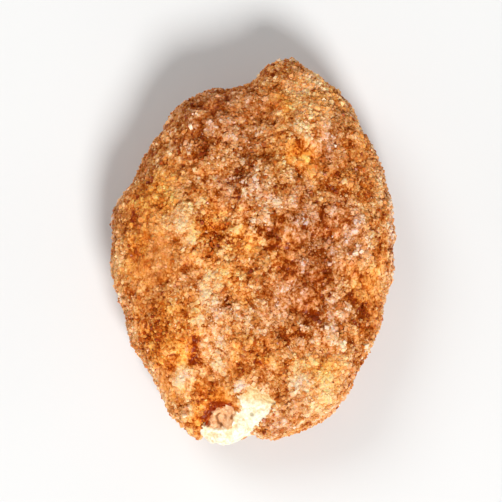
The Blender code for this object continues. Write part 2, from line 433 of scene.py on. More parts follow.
def piece(name, p, faces, smooth=True, attributes=None, uv=None):
    """A mesh object, in metres, of points in millimetres."""
    mesh = bpy.data.meshes.new(name)
    mesh.vertices.add(len(p))
    mesh.vertices.foreach_set("co", (p * MM).astype(np.float32).ravel())
    mesh.loops.add(len(faces) * 3)
    mesh.loops.foreach_set("vertex_index", faces.astype(np.int32).ravel())
    mesh.polygons.add(len(faces))
    mesh.polygons.foreach_set("loop_start", np.arange(0, len(faces) * 3, 3, dtype=np.int32))
    mesh.polygons.foreach_set("use_smooth", np.full(len(faces), smooth))
    mesh.update(calc_edges=True)
    for key, values in (attributes or {}).items():
        layer = mesh.attributes.new(key, "FLOAT", "POINT")
        layer.data.foreach_set("value", np.asarray(values, np.float32))
    if uv is not None:
        layer = mesh.uv_layers.new(name="OFBake", do_init=False)
        layer.uv.foreach_set("vector", uv.astype(np.float32).ravel())
    mesh.validate(clean_customdata=False)
    made = bpy.data.objects.new(name, mesh)
    bpy.context.scene.collection.objects.link(made)
    return made


def disc_map(d, faces, split=0.62):
    """Lays the ball's top half and bottom half out as two discs, the top one larger."""
    middles = d[faces].mean(1)
    top = middles[:, 2] >= 0
    z = np.clip(d[:, 2], -1, 1)
    flat = np.linalg.norm(d[:, :2], axis=1)
    uv = np.zeros((len(faces), 3, 2))
    for upper in (True, False):
        reach = np.sqrt(np.maximum(0, 1 - (z if upper else -z))) / math.sqrt(1.06)
        on = d[:, :2] / np.maximum(flat, 1e-9)[:, None] * reach[:, None]
        use = top == upper
        share = split if upper else 1 - split
        start = 0.0 if upper else split
        at = on[faces[use]]
        uv[use, :, 0] = start + share * (0.5 + 0.485 * at[:, :, 0])
        uv[use, :, 1] = 0.5 + 0.485 * at[:, :, 1]
    return uv.reshape(-1, 2)


# ------------------------------------------------------------------ where the surface differs
def crescent_reach(p):
    """Distance outside the outline of the bare kernel, negative inside it."""
    x, y = p[:, 0], p[:, 1]
    near, inside = np.full(len(p), 99.0), np.zeros(len(p), bool)
    for (x0, y0), (x1, y1) in zip(CRESCENT, CRESCENT[1:] + CRESCENT[:1]):
        ax, ay = x1 - x0, y1 - y0
        s = np.clip(((x - x0) * ax + (y - y0) * ay) / (ax * ax + ay * ay), 0, 1)
        near = np.minimum(near, np.hypot(x - x0 - s * ax, y - y0 - s * ay))
        if ay:
            inside ^= ((y0 > y) != (y1 > y)) & (x < x0 + (y - y0) / ay * ax)
    return np.where(inside, -near, near)


def socket_reach(p):
    x, y, across, along = SOCKET
    turn = math.radians(40)
    u = (p[:, 0] - x) * math.cos(turn) + (p[:, 1] - y) * math.sin(turn)
    v = -(p[:, 0] - x) * math.sin(turn) + (p[:, 1] - y) * math.cos(turn)
    return (np.hypot(u / across, v / along) - 1) * min(across, along)


def chip_masks(p, wider=0.0):
    """Bare kernel and socket, 0 to 1, only on the upper side of the blunt tip."""
    rough = 0.16 * smooth_noise(p, 1.1, 71) + 0.16 * smooth_noise(p, 0.45, 72) + 0.12 * smooth_noise(p, 0.22, 73)
    lower = 0.8 * blob(p, 2.1, -17.2, 0.9)
    above = step(1.9, 2.9, p[:, 2] + lower - 0.4 * smooth_noise(p, 0.8, 74)) * step(-11.0, -12.0, p[:, 1])
    bare = step(0.12, -0.12, crescent_reach(p) + rough - wider) * above
    socket = step(0.2, -0.2, socket_reach(p) + rough - wider) * above
    return bare, socket


def blob(p, x, y, rx, ry=None):
    ry = ry or rx
    return np.exp(-(((p[:, 0] - x) / rx) ** 2 + ((p[:, 1] - y) / ry) ** 2))


# places where the sugar is dusty (positive) or the toffee shows orange through it: x, y, radii, amount
DUST = (
    (-4.6, 10.8, 3.4, 3.0, 1.0),
    (-1.4, 5.4, 2.4, 1.8, 0.5),
    (5.8, 3.4, 3.0, 1.8, 0.75),
    (5.0, -2.2, 2.0, 2.4, 0.5),
    (7.6, -5.4, 1.5, 1.6, 0.35),
    (-1.6, -6.4, 1.3, 1.6, 0.3),
    (-4.0, 0.8, 1.7, 2.6, -0.75),
    (0.0, -1.6, 1.8, 1.4, -0.55),
    (-5.2, -9.2, 2.2, 3.2, -1.2),
    (2.4, 9.0, 1.9, 1.6, -0.5),
    (2.2, -9.2, 1.9, 1.8, -0.5),
    (8.4, -10.2, 2.2, 1.8, -0.5),
    (-10.6, 0.2, 1.5, 5.0, -0.9),
    (10.8, -1.2, 1.1, 3.4, -0.7),
    (5.4, -0.4, 2.2, 4.6, 0.85),
    (1.0, 1.6, 2.0, 1.8, 0.45),
    (2.4, 13.6, 2.6, 2.2, -1.0),
    (3.5, 7.2, 1.6, 1.4, -0.6),
    (4.5, 10.0, 1.3, 1.2, 0.9),
    (-8.4, 3.0, 1.6, 2.4, -1.0),
    (-2.6, 4.3, 2.2, 1.5, 1.0),
    (7.6, 3.6, 1.5, 1.5, 0.7),
    (3.0, -2.2, 1.6, 1.5, 0.4),
    (-0.6, -5.2, 1.6, 1.6, -0.5),
    (8.2, -9.2, 1.8, 1.7, -0.6),
    (0.2, 10.0, 1.2, 2.4, -0.6),
    (-1.9, -2.7, 1.6, 2.4, -0.5),
    (-4.1, -8.2, 1.2, 1.2, 0.6),
    (7.2, 6.8, 1.7, 1.4, -0.6),
    (-7.0, 6.4, 1.4, 1.4, 0.35),
)


# smaller marks: x, y, across, along, then how much clearer, lighter and more orange
MARKS = (
    (-0.4, -13.6, 1.3, 1.0, 0.6, -0.3, 1.1),
    (-1.9, -13.1, 0.9, 0.7, 0.6, -0.7, 0.7),
    (-1.5, -15.8, 0.75, 1.6, 0.7, 0.1, 0.9),
    (5.9, -15.5, 1.6, 1.1, -0.3, 1.1, -0.6),
    (-4.0, -10.8, 0.9, 1.2, 0.7, 0.9, 1.0),
    (-2.95, -10.2, 0.36, 0.95, 0.5, -2.9, 0.9),
    (1.2, -11.3, 0.42, 0.65, 0.3, -1.6, 0.2),
    (3.0, -9.9, 0.9, 0.40, 0.3, -1.3, 0.6),
    (4.9, -12.4, 0.8, 0.9, 0.3, -1.6, 0.3),
    (-3.7, -12.5, 0.75, 0.9, -0.8, 3.6, -1.0),
    (-0.9, -10.8, 1.0, 1.6, -0.5, 0.9, -0.2),
    (1.6, -12.4, 0.55, 0.50, -0.6, 3.6, -0.6),
    (9.0, -11.9, 1.1, 1.3, -0.2, 2.0, 0.3),
    (-1.8, -14.6, 0.7, 0.7, 0.3, -1.1, 0.5),
    (6.3, -11.1, 0.9, 0.9, -0.2, 1.3, -0.2),
)


def patches(p, up):
    """The zones of the crust: clear toffee, pale sugar, dark sugar with painted shade, honey yellow, lighter or darker
    with painted light and shade, orange or dusty.
    """
    drift = warped(p, 1.1, 2.0, 91)
    top = step(-0.05, 0.35, up)
    clear = 0.95 * step(0.02, 0.42, layered(drift, 3.1, 11, 4)) + 0.45 * step(0.1, 0.5, layered(drift, 1.3, 14, 2))
    clear += top * (
        0.9 * blob(drift, -10.6, 0.6, 1.2, 2.6)
        + 0.9 * blob(drift, -9.5, -4.6, 1.1, 2.6)
        + 0.8 * blob(drift, 10.5, -1.2, 1.1, 2.8)
        + 0.9 * blob(drift, -4.2, -13.2, 1.3, 2.4)
        + 0.8 * blob(drift, 6.3, -3.2, 1.0, 2.8)
        + 0.8 * blob(drift, 3.0, -7.9, 2.2, 0.9)
        + 0.7 * blob(drift, -3.3, 0.4, 0.9, 1.2)
        + 0.7 * blob(drift, 2.6, 8.4, 1.5, 1.2)
        + 0.6 * blob(drift, -7.9, 6.6, 1.1, 1.4)
        + 0.5 * blob(drift, 8.9, 8.2, 1.0, 2.2)
    )
    pale = 0.8 * step(0.15, 0.6, layered(drift + 30, 2.6, 12, 3))
    pale += top * (
        0.9 * blob(drift, -6.5, 1.2, 1.9)
        + 0.8 * blob(drift, 0.3, 5.0, 1.9, 1.5)
        + 0.8 * blob(drift, 2.8, 12.0, 1.6, 1.4)
        + 0.9 * blob(drift, 7.6, -11.4, 2.4, 1.6)
        + 0.6 * blob(drift, -0.4, -9.0, 1.0, 2.2)
        + 0.5 * blob(drift, -2.2, -3.2, 1.2, 2.0)
        + 0.5 * blob(drift, -3.0, 6.8, 1.3, 1.3)
    )
    # darker sugar at random, and painted shade in the blobs at the upper left and beside the right groove
    dark = top * (
        0.95 * blob(drift, -6.0, 11.0, 2.6, 2.2)
        + 0.55 * blob(drift, 4.4, 0.8, 2.4, 2.0)
        + 0.45 * blob(drift, 4.8, -6.0, 2.0, 2.0)
    ) + 0.5 * step(0.2, 0.6, layered(drift + 60, 4.2, 13, 3))
    gold = top * (
        0.85 * blob(drift, 8.8, -12.4, 2.6, 2.4)
        + 0.4 * blob(drift, 2.6, 8.4, 1.6)
        + 0.5 * blob(drift, -3.6, -13.6, 1.8, 2.4)
    )
    # the rim is paler where it turns away: partly dustier sugar, partly painted sheen of light grazing it
    rim = step(0.50, 0.12, up) * step(-0.55, -0.10, up) * (0.65 + 0.35 * smooth_noise(p, 1.6, 18))
    rim *= step(17.0, 14.5, np.abs(p[:, 1]))
    clear = np.clip(clear - 0.7 * pale - 0.5 * rim, 0, 1)
    tint = 0.55 * layered(drift, 3.6, 15, 3) + 0.15 * rim
    # lighter and darker blobs, partly painted light and shade
    for x, y, radius, amount in TONES:
        tint += amount * blob(drift, x, y, radius) * top
    dust = 0.75 * layered(drift + 90, 5.2, 16, 3) * (1 - 0.5 * top) + 0.5 * layered(drift + 120, 1.9, 17, 2) + 0.4 * rim
    for x, y, across, along, amount in DUST:
        dust += amount * blob(drift, x, y, across, along) * top
    warm = 0.45 * clear - dust
    near_by = warped(p, 0.22, 0.7, 92)
    for x, y, across, along, clearer, lighter, oranger in MARKS:
        mark = blob(near_by, x, y, across, along) * top
        clear, tint, warm = clear + clearer * mark, tint + lighter * mark, warm + oranger * mark
    frost = step(0.02, 0.50, layered(warped(p, 0.25, 0.8, 64), 0.85, 63, 2))
    busy = 1 + 0.22 * layered(drift + 150, 3.4, 19, 2)
    for x, y, across, along, amount in BUSY:
        busy += amount * blob(drift, x, y, across, along) * top
    return {"frost": frost, "busy": np.clip(busy, 0.5, 1.45), "clear": np.clip(clear, 0, 1), "pale": np.clip(pale, 0, 1), "dark": np.clip(dark, 0, 1), "gold": np.clip(gold, 0, 1), "tint": np.clip(tint, -3.4, 3.6), "warm": np.clip(warm, -0.95, 1.2)}


def round_tops(p, size, seed, reach=0.86):
    """Rounded grains: 0 in the gaps between them and 1 on a whole one, and each one's number."""
    near, far, who = cells(p, size, seed)
    top = np.sqrt(np.maximum(0, 1 - (near / reach) ** 2))
    gap = step(0.0, 0.16, far - near)
    return top * (0.35 + 0.65 * gap), who


def intergrown(p, size, seed, spread=0.45):
    """Crystals grown into each other: turned, rounded boxes, the tallest one wins. Height in cells and each one's number."""
    q = p / size
    base = np.floor(q).astype(np.int64)
    best, who = np.full(len(p), -9.0), np.zeros(len(p))
    for dx in (-1, 0, 1):
        for dy in (-1, 0, 1):
            for dz in (-1, 0, 1):
                c = base + (dx, dy, dz)
                r = [unit(scramble(c[:, 0], c[:, 1], c[:, 2], seed + 53 * k)) for k in range(7)]
                u = q - c - np.stack(r[:3], 1)
                a, b = 6.283 * r[3], 6.283 * r[4]
                x = u[:, 0] * np.cos(a) - u[:, 1] * np.sin(a)
                y = u[:, 0] * np.sin(a) + u[:, 1] * np.cos(a)
                y, z = y * np.cos(b) - u[:, 2] * np.sin(b), y * np.sin(b) + u[:, 2] * np.cos(b)
                box = np.maximum(np.maximum(np.abs(x) * 1.15, np.abs(y)), np.abs(z) * 1.1)
                ball = np.sqrt(x * x + y * y + z * z)
                h = (1 - spread) + spread * r[5] - 0.72 * box - 0.28 * ball
                who = np.where(h > best, r[6], who)
                best = np.maximum(best, h)
    return np.clip(best, -0.2, 1.0), who


def grain_relief(p, up, clear, pale, dark, busy):
    """The crust's relief in mm along the way out, its height from 0 to 1 and each grain's tone."""
    sugar = 1 - 0.7 * clear
    side = 0.55 + 0.45 * step(0.15, 0.55, np.abs(up))
    clump, clump_tone = round_tops(warped(p, 0.7, 2.0, 21), 2.6, 31)
    big, big_tone = round_tops(warped(p, 0.4, 1.0, 22), 1.2, 32)
    mid, mid_tone = intergrown(warped(p, 0.12, 0.6, 23), 0.62, 33)
    fine, fine_tone = intergrown(p, 0.34, 34)
    side = side * (1 - 0.6 * blob(p, -0.8, 16.2, 2.2))
    relief = 0.40 * blob(p, -2.3, 15.6, 1.2) * (p[:, 2] > 1.0) + 0.32 * (clump - 0.6) * (0.4 + 1.0 * clump_tone) * side
    relief += 0.22 * (big - 0.6) * (0.25 + 1.1 * big_tone) * (0.4 + 0.6 * sugar) * side * busy
    relief += 0.20 * (mid - 0.55) * (0.5 + 0.7 * mid_tone) * sugar * busy
    relief += 0.13 * (fine - 0.5) * sugar
    relief += 0.16 * layered(p, 1.5, 35, 3) * side - 0.12
    relief -= GONE[3] * blob(p, *GONE[:3]) * step(-11.0, -13.0, p[:, 1])
    # bubbles and gaps that the boiled sugar left
    near, _, who = cells(warped(p, 0.3, 0.9, 24), 2.1, 36)
    pit = (who > 0.55) * np.exp(-((near * 2.1 / 0.34) ** 2)) * (0.35 + 0.8 * (who - 0.55))
    near, _, who = cells(p, 1.15, 37)
    pit += (who > 0.6) * np.exp(-((near * 1.15 / 0.17) ** 2)) * 0.22
    relief -= pit * (0.5 + 0.5 * sugar)
    drift = warped(p, 0.25, 0.8, 38)
    hollow = np.zeros(len(p))
    for x, y, radius, depth in HOLLOWS:
        hollow += depth * blob(drift, x, y, radius)
    hollow *= step(0.1, 0.4, up)
    relief -= hollow
    pit = pit + 0.8 * hollow
    # the colour level follows the grains' height, so gaps and pits are darker: partly toffee there, partly painted
    # shade
    level = 0.24 * clump + 0.26 * big + 0.32 * np.clip(mid, 0, 1) + 0.18 * np.clip(fine, 0, 1)
    level = np.clip((level - 0.22) * 1.9 - 1.1 * pit, 0, 1)
    tone = 0.34 * (big_tone - 0.5) + 0.44 * (mid_tone - 0.5) + 0.26 * (fine_tone - 0.5) + 0.22 * layered(p, 0.9, 61, 2) + 0.18 * layered(p, 2.0, 62, 2)
    tone = 0.47 + 0.85 * tone + 1.5 * np.maximum(tone, 0) ** 2
    return relief, level, tone


# ------------------------------------------------------------------ materials
def linear(r, g, b):
    return tuple((c / 255 / 12.92) if c <= 10.31 else ((c / 255 + 0.055) / 1.055) ** 2.4 for c in (r, g, b)) + (1.0,)


class Nodes:
    """Short names for building a material's nodes."""

    def __init__(self, name):
        self.material = bpy.data.materials.new(name)
        self.material.use_nodes = True
        self.tree = self.material.node_tree
        self.shader = self.tree.nodes["Principled BSDF"]
        where = self.tree.nodes.new("ShaderNodeTexCoord")
        scale = self.tree.nodes.new("ShaderNodeVectorMath")
        scale.operation = "SCALE"
        scale.inputs["Scale"].default_value = 1000.0
        self.link(where.outputs["Object"], scale.inputs[0])
        self.place = scale.outputs[0]

    def link(self, a, b):
        self.tree.links.new(a, b)

    def feed(self, value, socket):
        if hasattr(value, "is_linked"):
            self.link(value, socket)
        else:
            socket.default_value = value

    def attribute(self, name):
        n = self.tree.nodes.new("ShaderNodeAttribute")
        n.attribute_name = name
        return n.outputs["Fac"]

    def noise(self, scale, detail=3.0, roughness=0.55, distortion=0.0, seed=0.0):
        n = self.tree.nodes.new("ShaderNodeTexNoise")
        shift = self.tree.nodes.new("ShaderNodeVectorMath")
        shift.operation = "ADD"
        shift.inputs[1].default_value = (seed * 3.7, seed * 1.3, seed * 2.9)
        self.link(self.place, shift.inputs[0])
        self.link(shift.outputs[0], n.inputs["Vector"])
        n.inputs["Scale"].default_value = scale
        n.inputs["Detail"].default_value = detail
        n.inputs["Roughness"].default_value = roughness
        n.inputs["Distortion"].default_value = distortion
        return n.outputs["Fac"]

    def vector(self, operation, a, b):
        n = self.tree.nodes.new("ShaderNodeVectorMath")
        n.operation = operation
        self.feed(a, n.inputs[0])
        self.feed(b, n.inputs["Scale" if operation == "SCALE" else 1])
        return n.outputs["Vector"]

    def tinted(self, colour, warm, gold):
        """Turns a sugar colour orange where warm is above 0, dusty where it is below, and honey yellow by gold."""
        hot = self.vector("SCALE", (0.100, -0.025, -0.430), self.math("MAXIMUM", warm, 0.0))
        dusty = self.vector("SCALE", (0.070, -0.005, -0.480), self.math("MINIMUM", warm, 0.0))
        honey = self.vector("SCALE", (0.02, 0.035, -0.12), gold)
        gain = self.vector("ADD", self.vector("ADD", hot, dusty), self.vector("ADD", honey, (1.0, 1.0, 1.0)))
        made = self.vector("MINIMUM", self.vector("MULTIPLY", colour, gain), (1.0, 1.0, 1.0))
        return made

    def facets(self, scale, shift=0.0):
        """Flat faces turned at random, in mm, and a number for each."""
        at = self.tree.nodes.new("ShaderNodeVectorMath")
        at.operation = "ADD"
        at.inputs[1].default_value = (shift, -0.7 * shift, 0.4 * shift)
        self.link(self.place, at.inputs[0])
        v = self.tree.nodes.new("ShaderNodeTexVoronoi")
        v.inputs["Scale"].default_value = scale
        self.link(at.outputs[0], v.inputs["Vector"])
        away = self.tree.nodes.new("ShaderNodeVectorMath")
        away.operation = "SUBTRACT"
        self.link(at.outputs[0], away.inputs[0])
        self.link(v.outputs["Position"], away.inputs[1])
        lean = self.tree.nodes.new("ShaderNodeVectorMath")
        lean.operation = "SUBTRACT"
        self.link(v.outputs["Color"], lean.inputs[0])
        lean.inputs[1].default_value = (0.5, 0.5, 0.5)
        dot = self.tree.nodes.new("ShaderNodeVectorMath")
        dot.operation = "DOT_PRODUCT"
        self.link(away.outputs[0], dot.inputs[0])
        self.link(lean.outputs[0], dot.inputs[1])
        split = self.tree.nodes.new("ShaderNodeSeparateColor")
        self.link(v.outputs["Color"], split.inputs[0])
        return dot.outputs["Value"], split.outputs[1]

    def math(self, operation, a, b=0.0, clamp=False):
        n = self.tree.nodes.new("ShaderNodeMath")
        n.operation, n.use_clamp = operation, clamp
        self.feed(a, n.inputs[0])
        self.feed(b, n.inputs[1])
        return n.outputs[0]

    def band(self, value, low, high, to_low=0.0, to_high=1.0):
        n = self.tree.nodes.new("ShaderNodeMapRange")
        n.interpolation_type = "SMOOTHSTEP"
        self.feed(value, n.inputs["Value"])
        n.inputs["From Min"].default_value, n.inputs["From Max"].default_value = low, high
        n.inputs["To Min"].default_value, n.inputs["To Max"].default_value = to_low, to_high
        return n.outputs["Result"]

    def mix(self, factor, a, b, kind="MIX"):
        n = self.tree.nodes.new("ShaderNodeMix")
        n.data_type, n.blend_type = "RGBA", kind
        self.feed(factor, n.inputs[0])
        self.feed(a, n.inputs[6])
        self.feed(b, n.inputs[7])
        return n.outputs[2]

    def ramp(self, value, stops):
        n = self.tree.nodes.new("ShaderNodeValToRGB")
        ramp = n.color_ramp
        while len(ramp.elements) < len(stops):
            ramp.elements.new(0.5)
        for element, (at, colour) in zip(ramp.elements, stops):
            element.position, element.color = at, colour
        self.feed(value, n.inputs[0])
        return n.outputs["Color"]

    def bump(self, height, strength, distance, under=None):
        n = self.tree.nodes.new("ShaderNodeBump")
        n.inputs["Strength"].default_value = strength
        n.inputs["Distance"].default_value = distance
        self.link(height, n.inputs["Height"])
        if under is not None:
            self.link(under, n.inputs["Normal"])
        return n.outputs["Normal"]


SUGAR = (
    (0.04, (129, 44, 0)),
    (0.22, (180, 88, 20)),
    (0.43, (214, 136, 70)),
    (0.65, (244, 174, 117)),
    (0.92, (254, 211, 167)),
)


def sugar_ramp(n, level):
    return n.ramp(level, tuple((at, linear(*rgb)) for at, rgb in SUGAR))


def coat_material():
    n = Nodes("toffee_coat")
    high, tone = n.attribute("high"), n.attribute("tone")
    clear, pale, dark, gold, tint, warm = (n.attribute(k) for k in ("clear", "pale", "dark", "gold", "tint", "warm"))
    coarse, coarse_tone = n.facets(3.4)
    fine, fine_tone = n.facets(7.5, 3.0)
    speck = n.noise(3.8, 5.0, 0.66)
    cluster = n.noise(1.7, 2.0, 0.5, seed=6.0)
    level = n.math("ADD", n.math("MULTIPLY", high, 0.46), n.math("MULTIPLY", tone, 0.42))
    level = n.math("ADD", level, n.math("MULTIPLY", n.math("SUBTRACT", speck, 0.5), 1.05))
    level = n.math("ADD", level, n.math("MULTIPLY", n.math("SUBTRACT", cluster, 0.5), 0.50))
    level = n.math("ADD", level, n.math("MULTIPLY", n.attribute("frost"), n.math("ADD", 0.06, n.math("MULTIPLY", high, 0.22))))
    level = n.math("ADD", level, n.math("MULTIPLY", n.math("SUBTRACT", coarse_tone, 0.5), 0.26))
    level = n.math("ADD", level, n.math("MULTIPLY", n.math("SUBTRACT", fine_tone, 0.5), 0.20))
    level = n.math("ADD", n.math("MULTIPLY", n.math("SUBTRACT", level, 0.47), n.attribute("busy")), 0.47)
    level = n.math("ADD", level, n.math("MULTIPLY", pale, 0.16))
    level = n.math("ADD", level, n.math("MULTIPLY", gold, 0.10))
    level = n.math("SUBTRACT", level, n.math("ADD", n.math("MULTIPLY", dark, 0.10), 0.08))
    glaze = n.math("MULTIPLY", n.band(n.noise(2.6, 5.0, 0.72, seed=4.0), 0.50, 0.68), n.band(high, 0.2, 0.7))
    level = n.math("ADD", level, n.math("MULTIPLY", glaze, n.math("ADD", 0.08, n.math("MULTIPLY", pale, 0.22))))
    level = n.math("ADD", level, n.math("MULTIPLY", tint, 0.17), clamp=True)
    n.link(n.tinted(sugar_ramp(n, level), warm, gold), n.shader.inputs["Base Color"])
    rough = n.band(n.math("ADD", n.math("MULTIPLY", coarse_tone, 0.5), n.math("MULTIPLY", fine_tone, 0.5)), 0.1, 0.9, 0.32, 0.72)
    rough = n.math("SUBTRACT", rough, n.math("MULTIPLY", clear, 0.18))
    n.link(n.math("MAXIMUM", rough, 0.18), n.shader.inputs["Roughness"])
    n.link(n.math("MULTIPLY", clear, 0.09), n.shader.inputs["Coat Weight"])
    n.shader.inputs["Coat Roughness"].default_value = 0.2
    n.shader.inputs["Specular IOR Level"].default_value = 0.05
    n.shader.inputs["Subsurface Weight"].default_value = 0.5
    n.shader.inputs["Subsurface Radius"].default_value = (1.0, 0.42, 0.12)
    n.shader.inputs["Subsurface Scale"].default_value = 0.0009
    keep = n.math("SUBTRACT", 1.0, n.math("MULTIPLY", clear, 0.72))
    under = n.bump(n.math("MULTIPLY", coarse, keep), 0.75, 0.001)
    n.link(n.bump(n.math("MULTIPLY", fine, keep), 0.6, 0.001, under), n.shader.inputs["Normal"])
    return n.material


def crumb_material():
    n = Nodes("toffee_crumbs")
    tone, warm, gold = n.attribute("tone"), n.attribute("warm"), n.attribute("gold")
    coarse, coarse_tone = n.facets(5.0, 1.0)
    speck = n.noise(4.5, 4.0, 0.65, seed=3.0)
    level = n.math("ADD", tone, n.math("MULTIPLY", n.math("SUBTRACT", speck, 0.5), 0.8))
    level = n.math("ADD", level, n.math("MULTIPLY", n.math("SUBTRACT", coarse_tone, 0.5), 0.2), clamp=True)
    n.link(n.tinted(sugar_ramp(n, level), warm, gold), n.shader.inputs["Base Color"])
    n.link(n.band(coarse_tone, 0.1, 0.9, 0.30, 0.64), n.shader.inputs["Roughness"])
    n.shader.inputs["Specular IOR Level"].default_value = 0.12
    n.shader.inputs["Subsurface Weight"].default_value = 0.4
    n.shader.inputs["Subsurface Radius"].default_value = (1.0, 0.42, 0.14)
    n.shader.inputs["Subsurface Scale"].default_value = 0.0006
    n.link(n.bump(coarse, 0.8, 0.001), n.shader.inputs["Normal"])
    return n.material


def grain_material(name, spread, seed, rough, specular):
    """Crystals and sand: each grain has its own tone, and a little change of tone inside it."""
    n = Nodes(name)
    tone, warm, gold = n.attribute("tone"), n.attribute("warm"), n.attribute("gold")
    speck = n.noise(3.0, 4.0, 0.65, seed=seed)
    level = n.math("ADD", tone, n.math("MULTIPLY", n.math("SUBTRACT", speck, 0.5), spread), clamp=True)
    n.link(n.tinted(sugar_ramp(n, level), warm, gold), n.shader.inputs["Base Color"])
    n.link(n.band(n.noise(2.0, 3.0, 0.6, seed=seed + 1.0), 0.3, 0.7, *rough), n.shader.inputs["Roughness"])
    n.shader.inputs["Subsurface Weight"].default_value = 0.4
    n.shader.inputs["Subsurface Radius"].default_value = (1.0, 0.5, 0.2)
    n.shader.inputs["Subsurface Scale"].default_value = 0.0005
    n.shader.inputs["Specular IOR Level"].default_value = specular
    n.link(n.bump(n.noise(11.0, 2.0, 0.5, seed=5.0), 0.25, 0.00003), n.shader.inputs["Normal"])
    return n.material


def kernel_material():
    n = Nodes("pecan_kernel")
    flesh, warm, socket, pit, crevice_shade, spot = (n.attribute(k) for k in ("flesh", "warm", "socket", "pit", "crevice_shade", "spot"))
    grain = n.noise(2.6, 5.0, 0.68, seed=7.0)
    fresh = n.ramp(grain, (
        (0.30, linear(216, 184, 132)),
        (0.40, linear(237, 220, 184)),
        (0.52, linear(246, 238, 214)),
        (0.78, linear(249, 245, 230)),
    ))
    # flesh in crevices, at the socket's rim and on its lines is painted warm tan: painted shade
    fresh = n.mix(n.band(n.math("ADD", crevice_shade, n.math("MULTIPLY", n.math("SUBTRACT", grain, 0.5), -0.9)), 0.35, 0.85, 0.0, 0.8), fresh, linear(238, 200, 146))
    fresh = n.mix(n.band(n.math("ADD", spot, n.math("MULTIPLY", n.math("SUBTRACT", grain, 0.5), 0.6)), 0.25, 0.80, 0.0, 0.8), fresh, linear(176, 160, 124))
    toasted = n.ramp(grain, (
        (0.30, linear(190, 138, 72)),
        (0.45, linear(226, 186, 122)),
        (0.65, linear(244, 218, 166)),
    ))
    bowl = n.ramp(n.noise(2.8, 5.0, 0.7, seed=1.0), (
        (0.30, linear(172, 102, 50)),
        (0.44, linear(230, 166, 110)),
        (0.66, linear(251, 214, 168)),
    ))
    skin = n.ramp(n.noise(1.7, 5.0, 0.68, distortion=0.5, seed=2.0), (
        (0.30, linear(104, 56, 28)),
        (0.46, linear(158, 100, 58)),
        (0.60, linear(196, 142, 94)),
        (0.80, linear(232, 190, 140)),
    ))
    bowl = n.mix(n.band(n.math("ADD", pit, n.math("MULTIPLY", n.math("SUBTRACT", grain, 0.5), 0.7)), 0.30, 0.90, 0.0, 0.85), bowl, linear(146, 84, 26))
    colour = n.mix(socket, skin, bowl)
    edge = n.math("ADD", flesh, n.math("MULTIPLY", n.math("SUBTRACT", grain, 0.5), 0.5))
    colour = n.mix(n.band(edge, 0.30, 0.55), colour, n.mix(warm, fresh, toasted))
    n.link(colour, n.shader.inputs["Base Color"])
    n.link(n.band(grain, 0.3, 0.7, 0.42, 0.62), n.shader.inputs["Roughness"])
    n.shader.inputs["Subsurface Weight"].default_value = 0.3
    n.shader.inputs["Subsurface Radius"].default_value = (1.0, 0.75, 0.45)
    n.shader.inputs["Subsurface Scale"].default_value = 0.0006
    n.link(n.bump(n.noise(5.0, 5.0, 0.7, seed=3.0), 0.6, 0.00015), n.shader.inputs["Normal"])
    return n.material


# ------------------------------------------------------------------ the pieces
def build_coat():
    d, faces = geodesic(88)
    d = aimed(d, 0.22, 1.0)

    def near_chip(m):
        p, _, up = coat_base(m)
        return (np.minimum(crescent_reach(p), socket_reach(p)) < 0.8) & (p[:, 2] > 1.0) & (p[:, 1] < -10.5)

    d, faces = refined(d, faces, near_chip)
    p, t, up = coat_base(d)
    smooth = normals_of(p, faces)
    p = p + smooth * coat_relief(p, t, up)[:, None]
    smooth = normals_of(p, faces)
    middle = np.array([-(p[:, 0].min() + p[:, 0].max()) / 2, -(p[:, 1].min() + p[:, 1].max()) / 2, 0])
    p = p + middle
    zones = patches(p, up)
    relief, level, tone = grain_relief(p, up, zones["clear"], zones["pale"], zones["dark"], zones["busy"])
    bare, socket = chip_masks(p)
    wide_bare, wide_socket = chip_masks(p, 0.45)
    chip = np.maximum(np.maximum(bare, socket), wide_bare * wide_socket * step(-15.6, -16.0, p[:, 1]))
    lip = np.exp(-((np.minimum(crescent_reach(p), socket_reach(p)) / 0.45) ** 2)) * step(3.0, 4.2, p[:, 2]) * step(-10.5, -11.5, p[:, 1])
    relief = relief * (1 - 0.4 * lip) * (1 - chip) - 1.7 * chip
    out = p + smooth * relief[:, None]
    out[:, 2] = np.maximum(np.where(out[:, 2] < 0, 0.12 * out[:, 2], out[:, 2]), 0.0)
    # the crust above the socket is dark, clear toffee, and darker there as painted shade under the broken lip
    x, y = p[:, 0] - SOCKET[0], p[:, 1] - SOCKET[1]
    away = np.maximum(np.hypot(x, y), 1e-6)
    edge = step(0.0, 0.8, (0.5 * y - 0.87 * x) / away) + 0.6 * step(0.2, 0.8, (0.95 * y - 0.3 * x) / away)
    edge = bell(away, 1.40, 0.40) * np.clip(edge, 0, 1) * step(-11.5, -12.5, p[:, 1]) * step(0.0, 0.3, up)
    level = np.clip(level * (1 - chip) * (1 - 0.8 * edge) + 0.15 * lip * (1 - edge), 0, 1)
    zones["clear"] = np.clip(zones["clear"] + 0.8 * edge, 0, 1)
    zones["warm"] = zones["warm"] + 0.6 * edge
    zones["tint"] = zones["tint"] - 1.5 * edge
    zones["pale"] = np.clip(zones["pale"] + 0.25 * lip - edge, 0, 1)
    values = dict(zones, high=level, tone=tone)
    made = piece("toffee_crust", out, faces, True, values, disc_map(d, faces))
    skin = dict(values, p=out, base=p, faces=faces, smooth=smooth, up=up, chip=chip, lip=lip, middle=middle)
    return made, skin


